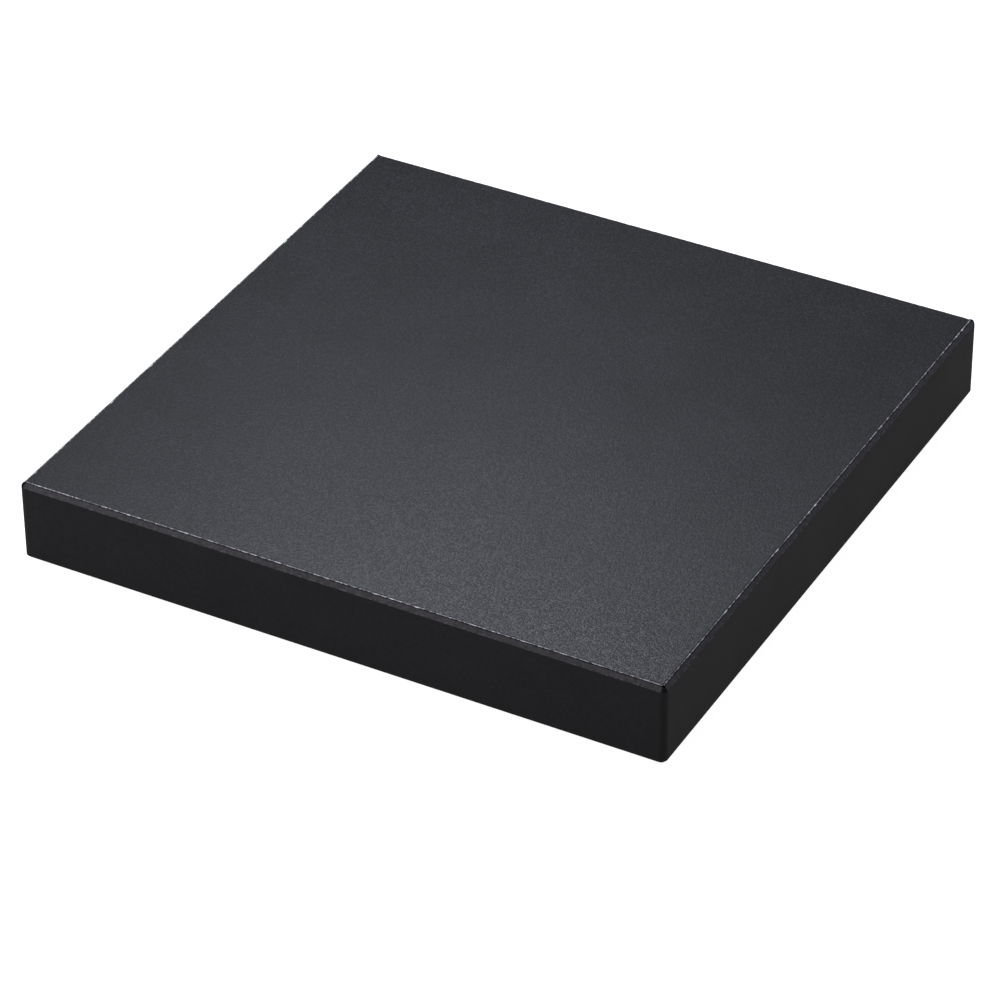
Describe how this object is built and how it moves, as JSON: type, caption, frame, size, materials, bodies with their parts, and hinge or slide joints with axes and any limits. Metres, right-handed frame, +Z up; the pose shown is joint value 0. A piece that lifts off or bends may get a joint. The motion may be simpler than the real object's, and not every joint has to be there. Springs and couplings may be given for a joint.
{
  "type": "granite tooling slab",
  "caption": "Square granite slab with a honed work face, ground chamfer and low rubber feet, a hard flat base for stamping and tooling leather.",
  "frame": {"origin": "on the bench plane, under the middle of the slab; the soles of the feet are at Z = 0", "axes": "+Z up through the work face, +X along the slab's width to the right, +Y along its depth to the rear, so the front side faces -Y"},
  "size_m": [0.3048, 0.3048, 0.0419],
  "materials": {
    "honed_granite": "fine-grained black granite, honed satin on the work face, matt on the sawn sides",
    "foot_rubber": "moulded black rubber, matt",
    "adhesive_foam": "off-white acrylic adhesive foam"
  },
  "bodies": {
    "root": {"granite_slab": "honed_granite", "rubber_foot_front_left": "foot_rubber", "rubber_foot_front_right": "foot_rubber", "rubber_foot_rear_left": "foot_rubber", "rubber_foot_rear_right": "foot_rubber", "adhesive_disc_front_left": "adhesive_foam", "adhesive_disc_front_right": "adhesive_foam", "adhesive_disc_rear_left": "adhesive_foam", "adhesive_disc_rear_right": "adhesive_foam"}
  },
  "joints": []
}
